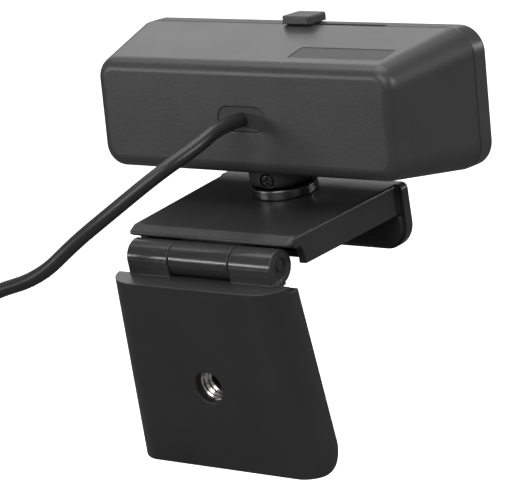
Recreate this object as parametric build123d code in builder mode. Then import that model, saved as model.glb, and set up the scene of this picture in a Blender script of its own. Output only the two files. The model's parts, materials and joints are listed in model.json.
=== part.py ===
from build123d import *
import math
import os

os.makedirs("parts", exist_ok=True)

# A screen-top webcam: a camera head that tilts on a swivel neck, a clip with a folding leg, a sliding
# privacy shutter and a lead with a plug.
# Millimetres, +Z up, the lens faces -Y. The origin is the middle of the clip's seat pad, where the pad
# rests on the top edge of a screen.

# ---------------------------------------------------------------- clip
plate_rear_half = 21.9        # half widths of the flared top plate
plate_front_half = 23.9
plate_rear = 20.5             # Y of the plate's two ends
plate_front = -18.3
plate_wall = 2.4
rear_slope_out = 2.3          # the plate's top slopes down to a thin rear edge
rear_slope_drop = 1.0
rear_edge = 0.7
skirt_height = 6.7            # from the plate's top face down
skirt_wall = 1.8
edge_round = 1.0              # rounding along the plate's top edges
pad_thick = 0.8               # rubber under the plate
cover_thick = 1.2
pad_proud = 0.5               # how far the seat pad stands out below the skirts
plate_top = skirt_height + pad_proud

lip_half = 25.0               # the front jaw
lip_drop = 15.1
lip_thick = 3.0
lip_corner = 6.0
lip_pad_thick = 1.2

# ---------------------------------------------------------------- hinge and leg
hinge_y = 22.9
hinge_z = 1.4
barrel_r = 3.75
barrel_half = 19.3            # half length of the whole barrel
middle_half = 8.15            # half length of the clip's knuckle
pin_r = 1.25
arc_clear = 1.65              # gap between the barrel and the cut-back skirts
leg_lean = 4.3                # degrees the leg leans forward at rest
leg_out = 8.5                 # outer face, measured out from the hinge axis
leg_in = 0.5                  # front edge of the side walls
leg_top = 2.9                 # top shelf, measured down the leg from the hinge axis
leg_end = 45.6
leg_top_half = 23.1
leg_end_half = 25.6
leg_corner = 6.4              # rounding of the leg's long outer edges
leg_wall = 2.0
leg_step = 1.4                # the side walls start this much lower, up to leg_step_out
leg_step_out = 3.0
leg_foot = 6.0                # solid foot and the rounding under it
leg_cover_thick = 1.4
leg_pad_thick = 1.6
thread_down = 26.0            # tripod thread, measured down the leg
thread_hole_r = 3.7
thread_r = 3.175              # quarter-inch tripod thread
insert_r = 5.0

# ---------------------------------------------------------------- neck
neck_y = -6.8
neck_r = 7.45
disc_height = 2.3
collar_height = 5.0
collar_round = 1.5
shaft_r = 2.0
washer_r = 3.4
washer_thick = 0.6
nut_r = 3.7
nut_tall = 1.4
tilt_height = 12.5            # tilt axis above the plate
tilt_rest = 5.3               # degrees the lens points down at rest
knuckle_r = 3.2
knuckle_half = 3.5
tilt_pin_r = 1.25
tilt_reach = 15.3             # the steepest tilt, which the floor opening leaves room for
screw_turn = 8.0              # the collar's screw sits this far round from straight back
neck_screw_r = 1.35
neck_screw_deep = 1.1         # its recess

# ---------------------------------------------------------------- head, measured from the tilt axis
head_half = 45.7
head_tall = 30.6
head_mid = 7.5                # height of the lens and of the front's middle
head_corner = 5.8
front_y = -15.97
parting_y = -10.83
back_y = 11.93
back_half = 39.55
back_tall = 24.1
back_mid = 6.24
back_corner = 4.8
back_round = 3.0
front_round = 1.2
shell_wall = 1.8
groove = 0.35                 # chamfers that make the line between frame and housing
panel_inset = 0.6
panel_thick = 1.5
lens_r = 4.2
window_r = 8.0
bezel_width = 2.0
board_y = -5.0
board_thick = 1.2
board_half = 34.0
board_tall = 17.0
mic_x = 31.5
led_x = 14.5
led_hole_r = 0.9
led_tall = 0.6
mic_hole_r = 0.6
mic_tall = 1.0
grommet_long = 12.7
grommet_tall = 5.4
badge_x = -22.7
badge_long = 24.3
badge_wide = 5.6
badge_corner = 0.5
badge_deep = 0.35             # its recess
badge_thick = 0.28
badge_back = 7.3              # from the badge's middle to the rear face

# ---------------------------------------------------------------- shutter
tab_x = -1.0
tab_width = 7.7
tab_thick = 1.8
tab_front = -15.6
tab_rear = -9.0
stem_width = 6.0
stem_thick = 1.0
shutter_travel = 19.0
blade_size = 14.0
blade_thick = 0.5

# ---------------------------------------------------------------- lead
lead_d = 3.2
lead_length = 1800.0
tail_length = 18.0
plug_length = 24.0
plug_wide = 16.0
plug_thick = 8.0
usb_wide = 12.0
usb_thick = 4.5
usb_out = 12.0
usb_in = 8.0                  # length of the metal shell inside the plug's body

# ---------------------------------------------------------------- clearances
gap = 0.3                     # between pieces of different bodies
run = 0.05                    # radial clearance of a running fit
slip = 0.1                    # around a piece dropped into its seat
snug = 0.02                   # around a pin held fast

plate_under = plate_top - plate_wall
skirt_bottom = plate_top - skirt_height
cover_z = pad_thick
rear_end = plate_rear + 1.5   # Y of the thin rear edge
pivot = Vector(0, neck_y, plate_top + tilt_height)
hinge = Vector(0, hinge_y, hinge_z)


def half_at(y):
    """Half width of the flared plate at a place along it."""
    share = (y - plate_front) / (plate_rear - plate_front)
    return plate_front_half + share * (plate_rear_half - plate_front_half)


def leg_half_at(down):
    """Half width of the flared leg at a distance down from the hinge axis."""
    share = (down - leg_top) / (leg_end - leg_top)
    return leg_top_half + share * (leg_end_half - leg_top_half)


# The head's own frame: its Y axis rises by the rest tilt.
tilt = math.radians(tilt_rest)
head_y = Vector(0, math.cos(tilt), math.sin(tilt))
head_z = Vector(0, -math.sin(tilt), math.cos(tilt))


def in_head(x, y, z):
    """A point given in the head's frame, as a point of the whole object."""
    return pivot + Vector(1, 0, 0) * x + head_y * y + head_z * z


def across(y, x=0.0, z=0.0):
    """A plane facing the front of the head: local X is +X and local Y is up the head."""
    return Plane(origin=in_head(x, y, z), x_dir=(1, 0, 0), z_dir=-head_y)


def level(z, x=0.0, y=0.0):
    """A plane facing the top of the head: local X is +X and local Y is the way to the rear."""
    return Plane(origin=in_head(x, y, z), x_dir=(1, 0, 0), z_dir=head_z)


def sideways(x, y=0.0, z=0.0):
    """A plane facing +X in the head: local X is the way to the rear and local Y is up."""
    return Plane(origin=in_head(x, y, z), x_dir=head_y, z_dir=(1, 0, 0))


# The leg's own frame: out is away from the screen, down runs along the leg.
lean = math.radians(leg_lean)
leg_out_dir = Vector(0, math.cos(lean), -math.sin(lean))
leg_up_dir = Vector(0, math.sin(lean), math.cos(lean))


def on_leg(out, down=0.0, x=0.0):
    """A plane facing out of the leg: local Y is up the leg, local X is -X."""
    place = hinge + leg_out_dir * out - leg_up_dir * down + Vector(x, 0, 0)
    return Plane(origin=place, x_dir=(-1, 0, 0), z_dir=leg_out_dir)


def save(piece, name):
    piece.part.label = name
    export_step(piece.part, f"parts/{name}.step")


def flared(front, rear, inset):
    """A four-sided outline that follows the plate's flare, inset from its sides."""
    with BuildLine() as line:
        Polyline(
            (-half_at(front) + inset, front),
            (half_at(front) - inset, front),
            (half_at(rear) - inset, rear),
            (-half_at(rear) + inset, rear),
            close=True,
        )
    return line.line


def leg_outline(top, bottom, inset):
    """The same for the leg, in the leg's own plane."""
    with BuildLine() as line:
        Polyline(
            (-leg_half_at(bottom) + inset, -bottom),
            (leg_half_at(bottom) - inset, -bottom),
            (leg_half_at(top) - inset, -top),
            (-leg_half_at(top) + inset, -top),
            close=True,
        )
    return line.line


def screw(planes, head_r, head_tall, shank_r, length, drive_r=0.0):
    """One node of equal countersunk screws. Each plane sits on a head's top and faces out of it."""
    with BuildPart() as screws:
        with Locations(*planes):
            Cylinder(shank_r, length, align=(Align.CENTER, Align.CENTER, Align.MAX))
            Cone(shank_r, head_r, head_tall, align=(Align.CENTER, Align.CENTER, Align.MAX))
            if drive_r:
                with BuildSketch(*planes):
                    RegularPolygon(drive_r, 6)
                extrude(amount=-head_tall * 0.6, mode=Mode.SUBTRACT)
    return screws


# ================================================================ clip
cover_screw_spots = [(x, y) for x in (-15.0, 15.0) for y in (-11.0, 11.0)]
cover_screw_r = 0.8
cover_head_r = 1.5
cover_head_tall = 0.7
boss_r = 2.0
disc_screw_spots = [(-5.4, neck_y), (5.4, neck_y)]

with BuildPart() as clip_plate:
    # skirts, cut back round the hinge
    with BuildSketch(Plane.XY.offset(skirt_bottom)):
        make_face(flared(plate_front + lip_thick / 2, plate_rear, 0.0))
    extrude(amount=plate_under - skirt_bottom)
    with BuildSketch(Plane.XY.offset(skirt_bottom)):
        make_face(flared(plate_front + lip_thick, plate_rear + edge_round, skirt_wall))
    extrude(amount=plate_under - skirt_bottom, mode=Mode.SUBTRACT)
    with BuildSketch(Plane.YZ.offset(-plate_front_half)):
        with Locations((hinge_y, hinge_z)):
            Circle(barrel_r + arc_clear)
        with Locations((plate_rear, hinge_z)):
            Rectangle(2 * edge_round, 4 * barrel_r)
    extrude(amount=2 * plate_front_half, mode=Mode.SUBTRACT)
    # top plate
    with BuildSketch(Plane.XY.offset(plate_under)):
        make_face(flared(plate_front + lip_thick / 2, rear_end, 0.0))
        fillet(vertices().group_by(Axis.Y)[-1], edge_round)
    extrude(amount=plate_wall)
    with BuildSketch(Plane.YZ.offset(-plate_front_half)):
        with BuildLine():
            Polyline(
                (rear_end - rear_slope_out, plate_top),
                (rear_end, plate_top - rear_slope_drop),
                (rear_end + gap, plate_top - rear_slope_drop),
                (rear_end + gap, plate_top + gap),
                (rear_end - rear_slope_out, plate_top + gap),
                close=True,
            )
        make_face()
        with Locations((plate_rear, plate_under - gap)):
            Rectangle(rear_slope_out, plate_wall - rear_slope_drop - rear_edge + gap, align=(Align.MIN, Align.MIN))
    extrude(amount=2 * plate_front_half, mode=Mode.SUBTRACT)
    side_edges = [
        e for e in edges().filter_by(GeomType.LINE)
        if e.center().Z > plate_top - rear_slope_drop and abs(e.center().X) > plate_rear_half - 2 * edge_round
    ]
    fillet(side_edges, edge_round * 0.6)
    # front lip
    with BuildSketch(Plane.XZ.offset(-plate_front)):
        with Locations((0, plate_top)):
            Rectangle(2 * lip_half, lip_drop, align=(Align.CENTER, Align.MAX))
        fillet(vertices().group_by(Axis.Y)[0], lip_corner)
        fillet(vertices().group_by(Axis.Y)[-1], edge_round * 1.5)
    extrude(amount=-lip_thick)
    fillet(faces().sort_by(Axis.Y)[0].edges(), edge_round)
    # knuckle and the web that carries it
    with BuildSketch(Plane.YZ.offset(-middle_half + gap / 2)):
        with Locations((hinge_y, hinge_z)):
            Circle(barrel_r)
        with Locations((hinge_y - barrel_r, hinge_z)):
            Rectangle(2 * barrel_r, plate_under - hinge_z, align=(Align.CENTER, Align.MIN))
    extrude(amount=2 * middle_half - gap)
    with Locations(Location(hinge, (0, 90, 0))):
        Hole(pin_r + snug, depth=2 * barrel_half)
    # bosses for the cover, the neck shaft's hole and the disc's screws
    with BuildSketch(Plane.XY.offset(plate_under)):
        with Locations(*cover_screw_spots):
            Circle(boss_r)
    extrude(amount=-(plate_under - cover_z - cover_thick))
    with Locations(*[(x, y, cover_z + cover_thick) for x, y in cover_screw_spots]):
        Cylinder(
            cover_screw_r,
            plate_under - cover_z - cover_thick,
            align=(Align.CENTER, Align.CENTER, Align.MIN),
            mode=Mode.SUBTRACT,
        )
    with Locations((0, neck_y, plate_top)):
        Hole(shaft_r + run)
    with Locations(*[(x, y, plate_top) for x, y in disc_screw_spots]):
        Hole(cover_screw_r)
save(clip_plate, "clip_plate")

with BuildPart() as seat_cover:
    with BuildSketch(Plane.XY.offset(cover_z)):
        make_face(flared(plate_front + lip_thick + slip, hinge_y - 2 * barrel_r - slip, skirt_wall + slip))
    extrude(amount=cover_thick)
    with BuildSketch(Plane.XY.offset(cover_z)):
        with Locations(*cover_screw_spots):
            Circle(cover_head_r + slip)
    extrude(amount=cover_head_tall, taper=45 - 4, mode=Mode.SUBTRACT)
    with Locations(*[(x, y, cover_z + cover_thick) for x, y in cover_screw_spots]):
        Hole(cover_screw_r)
save(seat_cover, "seat_cover")

cover_screws = screw(
    [Plane(origin=(x, y, cover_z), z_dir=(0, 0, -1)) for x, y in cover_screw_spots],
    cover_head_r - slip, cover_head_tall, cover_screw_r - snug, plate_under - cover_z - slip, 0.6,
)
save(cover_screws, "cover_screws")

# The pad leaves the four screw heads free.
with BuildPart() as seat_pad:
    with BuildSketch():
        Rectangle(2 * 17.5, 2 * 13.5)
        fillet(vertices(), 2.5)
        with Locations(*cover_screw_spots):
            Circle(cover_head_r + 3 * slip, mode=Mode.SUBTRACT)
    extrude(amount=pad_thick)
    chamfer(faces().sort_by(Axis.Z)[0].outer_wire().edges(), 0.25)
save(seat_pad, "seat_pad")

lip_pad_inset = 0.7
lip_pad_bottom = plate_top - lip_drop + lip_pad_inset
with BuildPart() as lip_pad:
    with BuildSketch(Plane.XZ.offset(-(plate_front + lip_thick))):
        with Locations((0, lip_pad_bottom)):
            Rectangle(
                2 * (lip_half - lip_pad_inset), skirt_bottom - gap - lip_pad_bottom, align=(Align.CENTER, Align.MIN)
            )
        fillet(vertices().group_by(Axis.Y)[0], lip_corner - lip_pad_inset)
        fillet(vertices().group_by(Axis.Y)[-1], 0.8)
    extrude(amount=-lip_pad_thick)
    chamfer(faces().sort_by(Axis.Y)[-1].outer_wire().edges(), 0.3)
save(lip_pad, "lip_pad")

with BuildPart() as swivel_disc:
    with BuildSketch(Plane.XY.offset(plate_top)):
        with Locations((0, neck_y)):
            Circle(neck_r)
            Circle(shaft_r + run, mode=Mode.SUBTRACT)
    extrude(amount=disc_height)
    fillet(edges().filter_by(GeomType.CIRCLE).sort_by(SortBy.RADIUS)[-2:], 0.35)
    with Locations(*[Location((x, y, plate_top)) for x, y in disc_screw_spots]):
        Cylinder(cover_screw_r, 1.6, align=(Align.CENTER, Align.CENTER, Align.MIN), mode=Mode.SUBTRACT)
save(swivel_disc, "swivel_disc")

disc_screws = screw(
    [Plane(origin=(x, y, plate_under - cover_head_tall), z_dir=(0, 0, -1)) for x, y in disc_screw_spots],
    1.2, cover_head_tall, cover_screw_r - snug, plate_wall + cover_head_tall + 1.4, 0.55,
)
save(disc_screws, "disc_screws")

cap_deep = 0.8
cap_r = 2.5
pin_half = barrel_half - cap_deep - gap
with BuildPart() as hinge_pin:
    with BuildSketch(Plane.YZ.offset(-pin_half)):
        with Locations((hinge_y, hinge_z)):
            Circle(pin_r)
    extrude(amount=2 * pin_half)
    chamfer(edges().filter_by(GeomType.CIRCLE), 0.2)
save(hinge_pin, "hinge_pin")

# ================================================================ leg
leg_screw_spots = [(x, down) for x in (-13.5, 13.5) for down in (12.0, 36.0)]
leg_screw_r = 0.8
leg_boss_r = 2.0
leg_cover_out = leg_in + slip + leg_cover_thick
insert_out = leg_out - leg_wall

with BuildPart() as leg_shell:
    with BuildSketch(on_leg(leg_in)):
        make_face(leg_outline(leg_top, leg_end, 0.0))
    extrude(amount=leg_out - leg_in)
    long_edges = [
        e for e in edges()
        if abs(leg_out_dir.dot(e.center() - hinge) - leg_out) < 0.01 and abs(e.center().X) > leg_top_half / 2
    ]
    fillet(long_edges, leg_corner)
    foot_edges = [
        e for e in edges()
        if abs(leg_out_dir.dot(e.center() - hinge) - leg_in) < 0.01
        and leg_up_dir.dot(e.center() - hinge) < 0.01 - leg_end
    ]
    fillet(foot_edges, leg_foot)
    # hollow inside, narrower behind the rounded edges
    for inset, depth in (
        (leg_wall, leg_out - leg_in - leg_corner),
        (leg_wall + leg_corner / 3, leg_out - leg_in - leg_wall),
    ):
        with BuildSketch(on_leg(leg_in)):
            make_face(leg_outline(leg_top + leg_wall, leg_end - leg_foot, inset))
            fillet(vertices(), 1.0)
        extrude(amount=depth, mode=Mode.SUBTRACT)
    # two knuckles, with the clip's knuckle cut clear between them
    for side in (-1, 1):
        near = side * (middle_half + gap / 2)
        with BuildSketch(Plane(origin=hinge + Vector(near, 0, 0), x_dir=leg_out_dir, z_dir=(side, 0, 0))):
            Circle(barrel_r)
            with Locations((0.4 * barrel_r, side * -barrel_r / 2)):
                Rectangle(1.2 * barrel_r, barrel_r + 1.0)
        extrude(amount=barrel_half - middle_half - gap / 2)
    with BuildSketch(Plane(origin=hinge - Vector(middle_half + gap, 0, 0), x_dir=leg_out_dir, z_dir=(1, 0, 0))):
        with Locations((-0.2 * barrel_r, -barrel_r - 1.0)):
            Rectangle(1.2 * barrel_r, barrel_r / 2, align=(Align.MIN, Align.MIN))
    extrude(amount=2 * (middle_half + gap))
    with BuildSketch(Plane.YZ.offset(-middle_half - gap / 2)):
        with Locations((hinge_y, hinge_z)):
            Circle(barrel_r + gap)
    extrude(amount=2 * middle_half + gap, mode=Mode.SUBTRACT)
    with Locations(Location(hinge, (0, 90, 0))):
        Hole(pin_r + run, depth=2 * barrel_half)
    with BuildSketch(on_leg(leg_in)):
        for side in (-1, 1):
            with Locations((side * (barrel_half + gap), -leg_top - leg_step)):
                Rectangle(leg_end_half, 2 * leg_step, align=(Align.MIN if side > 0 else Align.MAX, Align.MIN))
    extrude(amount=leg_step_out - leg_in, mode=Mode.SUBTRACT)
    for side in (-1, 1):
        with BuildSketch(Plane.YZ.offset(side * barrel_half)):
            with Locations((hinge_y, hinge_z)):
                Circle(cap_r + snug)
        extrude(amount=-side * cap_deep, mode=Mode.SUBTRACT)
    # bosses for the cover's screws and the tripod insert's socket
    with BuildSketch(on_leg(leg_out - leg_wall)):
        with Locations(*[(x, -down) for x, down in leg_screw_spots]):
            Circle(leg_boss_r)
        with Locations((0, -thread_down)):
            Circle(insert_r + leg_wall / 2)
    extrude(amount=-(insert_out - leg_cover_out))
    with BuildSketch(on_leg(leg_cover_out)):
        with Locations(*[(x, -down) for x, down in leg_screw_spots]):
            Circle(leg_screw_r)
    extrude(amount=insert_out - leg_cover_out, mode=Mode.SUBTRACT)
    with BuildSketch(on_leg(leg_cover_out)):
        with Locations((0, -thread_down)):
            Circle(insert_r + snug)
    extrude(amount=insert_out - leg_cover_out, mode=Mode.SUBTRACT)
    with BuildSketch(on_leg(leg_out)):
        with Locations((0, -thread_down)):
            Circle(thread_hole_r)
    extrude(amount=-leg_wall, mode=Mode.SUBTRACT)
save(leg_shell, "leg_shell")

with BuildPart() as hinge_caps:
    for side in (-1, 1):
        with BuildSketch(Plane.YZ.offset(side * barrel_half)):
            with Locations((hinge_y, hinge_z)):
                Circle(cap_r)
        extrude(amount=-side * cap_deep)
        with BuildSketch(Plane.YZ.offset(side * barrel_half)):
            with Locations((hinge_y, hinge_z)):
                Circle(0.7 * cap_r)
                Circle(0.4 * cap_r, mode=Mode.SUBTRACT)
        extrude(amount=-side * cap_deep / 3, mode=Mode.SUBTRACT)
save(hinge_caps, "hinge_caps")

cover_top = leg_top + leg_wall + slip
cover_bottom = leg_end - leg_foot - slip
with BuildPart() as leg_cover:
    with BuildSketch(on_leg(leg_in + slip)):
        make_face(leg_outline(cover_top, cover_bottom, leg_wall + slip))
        fillet(vertices(), 1.0 - slip)
    extrude(amount=leg_cover_thick)
    with BuildSketch(on_leg(leg_in + slip)):
        with Locations(*[(x, -down) for x, down in leg_screw_spots]):
            Circle(cover_head_r + slip)
    extrude(amount=cover_head_tall, taper=45 - 4, mode=Mode.SUBTRACT)
    with BuildSketch(on_leg(leg_in + slip)):
        with Locations(*[(x, -down) for x, down in leg_screw_spots]):
            Circle(leg_screw_r)
    extrude(amount=leg_cover_thick, mode=Mode.SUBTRACT)
save(leg_cover, "leg_cover")

leg_screws = screw(
    [-on_leg(leg_in + slip, down, x) for x, down in leg_screw_spots],
    cover_head_r - slip, cover_head_tall, leg_screw_r - snug, insert_out - leg_in - 2 * slip, 0.6,
)
save(leg_screws, "leg_screws")

leg_pad_top = 16.0
with BuildPart() as leg_pad:
    with BuildSketch(on_leg(leg_in + slip)):
        with Locations((0, -(leg_pad_top + cover_bottom) / 2 + 0.75)):
            RectangleRounded(2 * 10.5, cover_bottom - leg_pad_top - 1.5, 2.5)
    extrude(amount=-leg_pad_thick)
save(leg_pad, "leg_pad")

# The tripod thread is a metal insert in a socket behind the leg's outer wall.
with BuildPart() as tripod_insert:
    with BuildSketch(on_leg(insert_out, thread_down)):
        Circle(insert_r)
        Circle(thread_r, mode=Mode.SUBTRACT)
    extrude(amount=-(insert_out - leg_cover_out - slip))
save(tripod_insert, "tripod_insert")

# ================================================================ neck
collar_bottom = plate_top + disc_height + gap
collar_top = collar_bottom + collar_height
shaft_top = collar_bottom + 0.7 * collar_height
nut_bottom = plate_under - gap - washer_thick - nut_tall
screw_angle = math.radians(screw_turn)
screw_dir = Vector(-math.sin(screw_angle), math.cos(screw_angle), 0)
screw_z = plate_top + 4.5
neck_axis = Vector(0, neck_y, 0)


def collar_plane(out):
    """A plane facing out of the collar's screw recess, at a distance out from the neck's axis."""
    return Plane(origin=neck_axis + screw_dir * out + Vector(0, 0, screw_z), z_dir=screw_dir)


with BuildPart() as neck_collar:
    with BuildSketch(Plane.XY.offset(collar_bottom)):
        with Locations((0, neck_y)):
            Circle(neck_r)
    extrude(amount=collar_height)
    fillet(edges().group_by(Axis.Z)[0], collar_round)
    with BuildSketch(Plane.YZ.offset(-knuckle_half)):
        with Locations((neck_y, pivot.Z)):
            Circle(knuckle_r)
        with Locations((neck_y, collar_top)):
            Rectangle(1.6 * knuckle_r, pivot.Z - collar_top, align=(Align.CENTER, Align.MIN))
    extrude(amount=2 * knuckle_half)
    with Locations(Location(pivot, (0, 90, 0))):
        Hole(tilt_pin_r + run, depth=2 * knuckle_half)
    with BuildSketch(Plane.XY.offset(collar_bottom)):
        with Locations((0, neck_y)):
            Circle(shaft_r + snug)
    extrude(amount=shaft_top - collar_bottom, mode=Mode.SUBTRACT)
    with BuildSketch(collar_plane(neck_r)):
        Circle(neck_screw_r + 0.4)
    extrude(amount=-neck_screw_deep, mode=Mode.SUBTRACT)
    with BuildSketch(collar_plane(neck_r)):
        Circle(cover_screw_r)
    extrude(amount=-(neck_r - shaft_r), mode=Mode.SUBTRACT)
save(neck_collar, "neck_collar")

with BuildPart() as neck_screw:
    with BuildSketch(collar_plane(neck_r - neck_screw_deep)):
        Circle(neck_screw_r)
    extrude(amount=0.8)
    fillet(edges().filter_by(GeomType.CIRCLE).sort_by(SortBy.DISTANCE)[-1:], 0.25)
    with BuildSketch(collar_plane(neck_r - neck_screw_deep)):
        Circle(cover_screw_r - snug)
    extrude(amount=-(neck_r - neck_screw_deep - shaft_r - slip))
    with BuildSketch(collar_plane(neck_r - 0.3)):
        Rectangle(1.5 * neck_screw_r, 0.35)
        Rectangle(0.35, 1.5 * neck_screw_r)
    extrude(amount=-0.45, mode=Mode.SUBTRACT)
save(neck_screw, "neck_screw")

with BuildPart() as swivel_shaft:
    with BuildSketch(Plane.XY.offset(nut_bottom)):
        with Locations((0, neck_y)):
            Circle(shaft_r)
    extrude(amount=shaft_top - nut_bottom)
    chamfer(edges().filter_by(GeomType.CIRCLE), 0.2)
save(swivel_shaft, "swivel_shaft")

with BuildPart() as swivel_washer:
    with BuildSketch(Plane.XY.offset(plate_under - gap)):
        with Locations((0, neck_y)):
            Circle(washer_r)
            Circle(shaft_r + snug, mode=Mode.SUBTRACT)
    extrude(amount=-washer_thick)
save(swivel_washer, "swivel_washer")

with BuildPart() as swivel_nut:
    with BuildSketch(Plane.XY.offset(nut_bottom)):
        with Locations((0, neck_y)):
            RegularPolygon(nut_r, 6)
            Circle(shaft_r + snug, mode=Mode.SUBTRACT)
    extrude(amount=nut_tall)
save(swivel_nut, "swivel_nut")

# ================================================================ head shell
head_top = head_mid + head_tall / 2
back_inner = back_y - shell_wall
floor_open = neck_r + math.tan(math.radians(tilt_reach)) * (head_tall / 2 - head_mid) + gap
bracket_z = 4.8
bracket_thick = 1.2
bracket_half = 3.4
bracket_post_x = 11.0
board_rear = board_y + board_thick
board_screw_spots = [(x, z) for x in (-30.0, 30.0) for z in (head_mid - 5.5, head_mid + 5.5)]
shell_screw_spots = [(x, z) for x in (-37.5, 37.5) for z in (head_mid - 6.5, head_mid + 6.5)]
shell_post_end = back_inner + snug
panel_rear = front_y + panel_inset + panel_thick
ledge_thick = 1.27
ledge_side = 8.3              # how far the ledge behind the panel reaches inwards
ledge_top = 1.3
ledge_rear = panel_rear + ledge_thick
frame_wall = 2.2
small_hole = 0.8
pilot_deep = 6.0
shell_pilot_deep = 6.5
small_head_r = 1.5
small_head_tall = 0.7
post_r = 2.0

top_slope = math.atan2(head_top - back_mid - back_tall / 2, back_y - parting_y - groove)
badge_y = back_y - badge_back
badge_z = back_mid + back_tall / 2 + badge_back * math.tan(top_slope)
badge_plane = Plane(
    origin=in_head(badge_x, badge_y, badge_z),
    x_dir=(1, 0, 0),
    z_dir=head_y * math.sin(top_slope) + head_z * math.cos(top_slope),
)

with BuildPart() as rear_housing:
    with BuildSketch(across(parting_y + groove, z=head_mid)):
        RectangleRounded(2 * head_half, head_tall, head_corner)
    with BuildSketch(across(back_y, z=back_mid)):
        RectangleRounded(2 * back_half, back_tall, back_corner)
    loft()
    back_face = faces().sort_by(lambda f: head_y.dot(f.center() - pivot))[-1]
    fillet(back_face.edges(), back_round)
    # a short bevelled front edge, one side of the line round the head
    with BuildSketch(across(parting_y, z=head_mid)):
        RectangleRounded(2 * (head_half - groove), head_tall - 2 * groove, head_corner - groove)
    with BuildSketch(across(parting_y + groove, z=head_mid)):
        RectangleRounded(2 * head_half, head_tall, head_corner)
    loft()
    # hollow inside, narrower behind the rounded edges
    with BuildSketch(across(parting_y, z=head_mid)):
        RectangleRounded(2 * (head_half - shell_wall), head_tall - 2 * shell_wall, head_corner - shell_wall)
    with BuildSketch(across(back_inner, z=back_mid)):
        RectangleRounded(2 * (back_half - shell_wall), back_tall - 2 * shell_wall, back_corner - shell_wall)
    loft(mode=Mode.SUBTRACT)
    # posts: for the tilt bracket, the board and the front frame
    with BuildSketch(level(bracket_z)):
        with Locations((-bracket_post_x, 0), (bracket_post_x, 0)):
            Circle(post_r + 0.2)
    extrude(amount=-(bracket_z - back_mid + back_tall / 2 - shell_wall / 2))
    with BuildSketch(across(board_rear)):
        with Locations(*board_screw_spots):
            Circle(post_r)
    extrude(amount=-(back_inner - board_rear + shell_wall / 2))
    with BuildSketch(across(ledge_rear)):
        with Locations(*shell_screw_spots):
            Circle(post_r)
    extrude(amount=-(shell_post_end - ledge_rear))
    with BuildSketch(level(bracket_z)):
        with Locations((-bracket_post_x, 0), (bracket_post_x, 0)):
            Circle(small_hole)
    extrude(amount=-pilot_deep, mode=Mode.SUBTRACT)
    with BuildSketch(across(board_rear)):
        with Locations(*board_screw_spots):
            Circle(small_hole)
    extrude(amount=-pilot_deep, mode=Mode.SUBTRACT)
    with BuildSketch(across(ledge_rear)):
        with Locations(*shell_screw_spots):
            Circle(small_hole)
    extrude(amount=-shell_pilot_deep, mode=Mode.SUBTRACT)
    # openings: the neck's way in, the grommet's seat and the badge's recess
    with BuildSketch(level(-head_tall / 2)):
        RectangleRounded(2 * (neck_r + gap + 0.2), 2 * floor_open, 2.5)
    extrude(amount=head_tall / 2 - 2.8, mode=Mode.SUBTRACT)
    with BuildSketch(across(back_y, z=back_mid)):
        SlotOverall(grommet_long + 2 * slip, grommet_tall + 2 * slip)
    extrude(amount=2 * shell_wall, both=True, mode=Mode.SUBTRACT)
    with BuildSketch(badge_plane.offset(-badge_deep)):
        RectangleRounded(badge_long + 2 * slip, badge_wide + 2 * slip, badge_corner + slip)
    extrude(amount=shell_wall, mode=Mode.SUBTRACT)
save(rear_housing, "rear_housing")

with BuildPart() as badge_plate:
    with BuildSketch(badge_plane.offset(-badge_deep)):
        RectangleRounded(badge_long, badge_wide, badge_corner)
    extrude(amount=badge_thick)
save(badge_plate, "badge_plate")

with BuildPart() as front_frame:
    with BuildSketch(across(parting_y, z=head_mid)):
        RectangleRounded(2 * head_half, head_tall, head_corner)
    extrude(amount=parting_y - front_y)
    front_face = faces().sort_by(lambda f: head_y.dot(f.center() - pivot))[0]
    fillet(front_face.edges(), front_round)
    rear_face = faces().sort_by(lambda f: head_y.dot(f.center() - pivot))[-1]
    chamfer(rear_face.edges(), groove)
    with BuildSketch(across(front_y, z=head_mid)):
        RectangleRounded(2 * (head_half - frame_wall), head_tall - 2 * frame_wall, head_corner - frame_wall)
    extrude(amount=-(panel_rear - front_y), mode=Mode.SUBTRACT)
    with BuildSketch(across(panel_rear, z=head_mid)):
        RectangleRounded(
            2 * (head_half - frame_wall - ledge_side), head_tall - 2 * (frame_wall + ledge_top), 3.0
        )
    extrude(amount=-(ledge_rear - panel_rear), mode=Mode.SUBTRACT)
    with BuildSketch(across(ledge_rear, z=head_mid)):
        RectangleRounded(2 * (head_half - frame_wall), head_tall - 2 * frame_wall, head_corner - frame_wall)
    extrude(amount=-(parting_y - ledge_rear), mode=Mode.SUBTRACT)
    with BuildSketch(across(panel_rear)):
        with Locations(*shell_screw_spots):
            Circle(small_hole)
    extrude(amount=-(ledge_rear - panel_rear), mode=Mode.SUBTRACT)
    # the shutter's slot, open to the line between frame and housing
    slot_right = tab_x + stem_width / 2 + gap
    slot_left = tab_x - stem_width / 2 - gap - shutter_travel
    with BuildSketch(level(head_top - frame_wall - 1.0)):
        with Locations(((slot_left + slot_right) / 2, parting_y)):
            Rectangle(slot_right - slot_left, stem_thick + 2 * gap, align=(Align.CENTER, Align.MAX))
    extrude(amount=frame_wall + 2.0, mode=Mode.SUBTRACT)
save(front_frame, "front_frame")

bezel_r = window_r + bezel_width
with BuildPart() as front_panel:
    with BuildSketch(across(front_y + panel_inset, z=head_mid)):
        RectangleRounded(
            2 * (head_half - frame_wall - slip),
            head_tall - 2 * (frame_wall + slip),
            head_corner - frame_wall - slip,
        )
        Circle(bezel_r + slip, mode=Mode.SUBTRACT)
        with Locations((-mic_x, 0), (mic_x, 0)):
            Circle(mic_hole_r, mode=Mode.SUBTRACT)
        with Locations((led_x, 0)):
            Circle(led_hole_r, mode=Mode.SUBTRACT)
    extrude(amount=-panel_thick)
save(front_panel, "front_panel")

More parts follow.
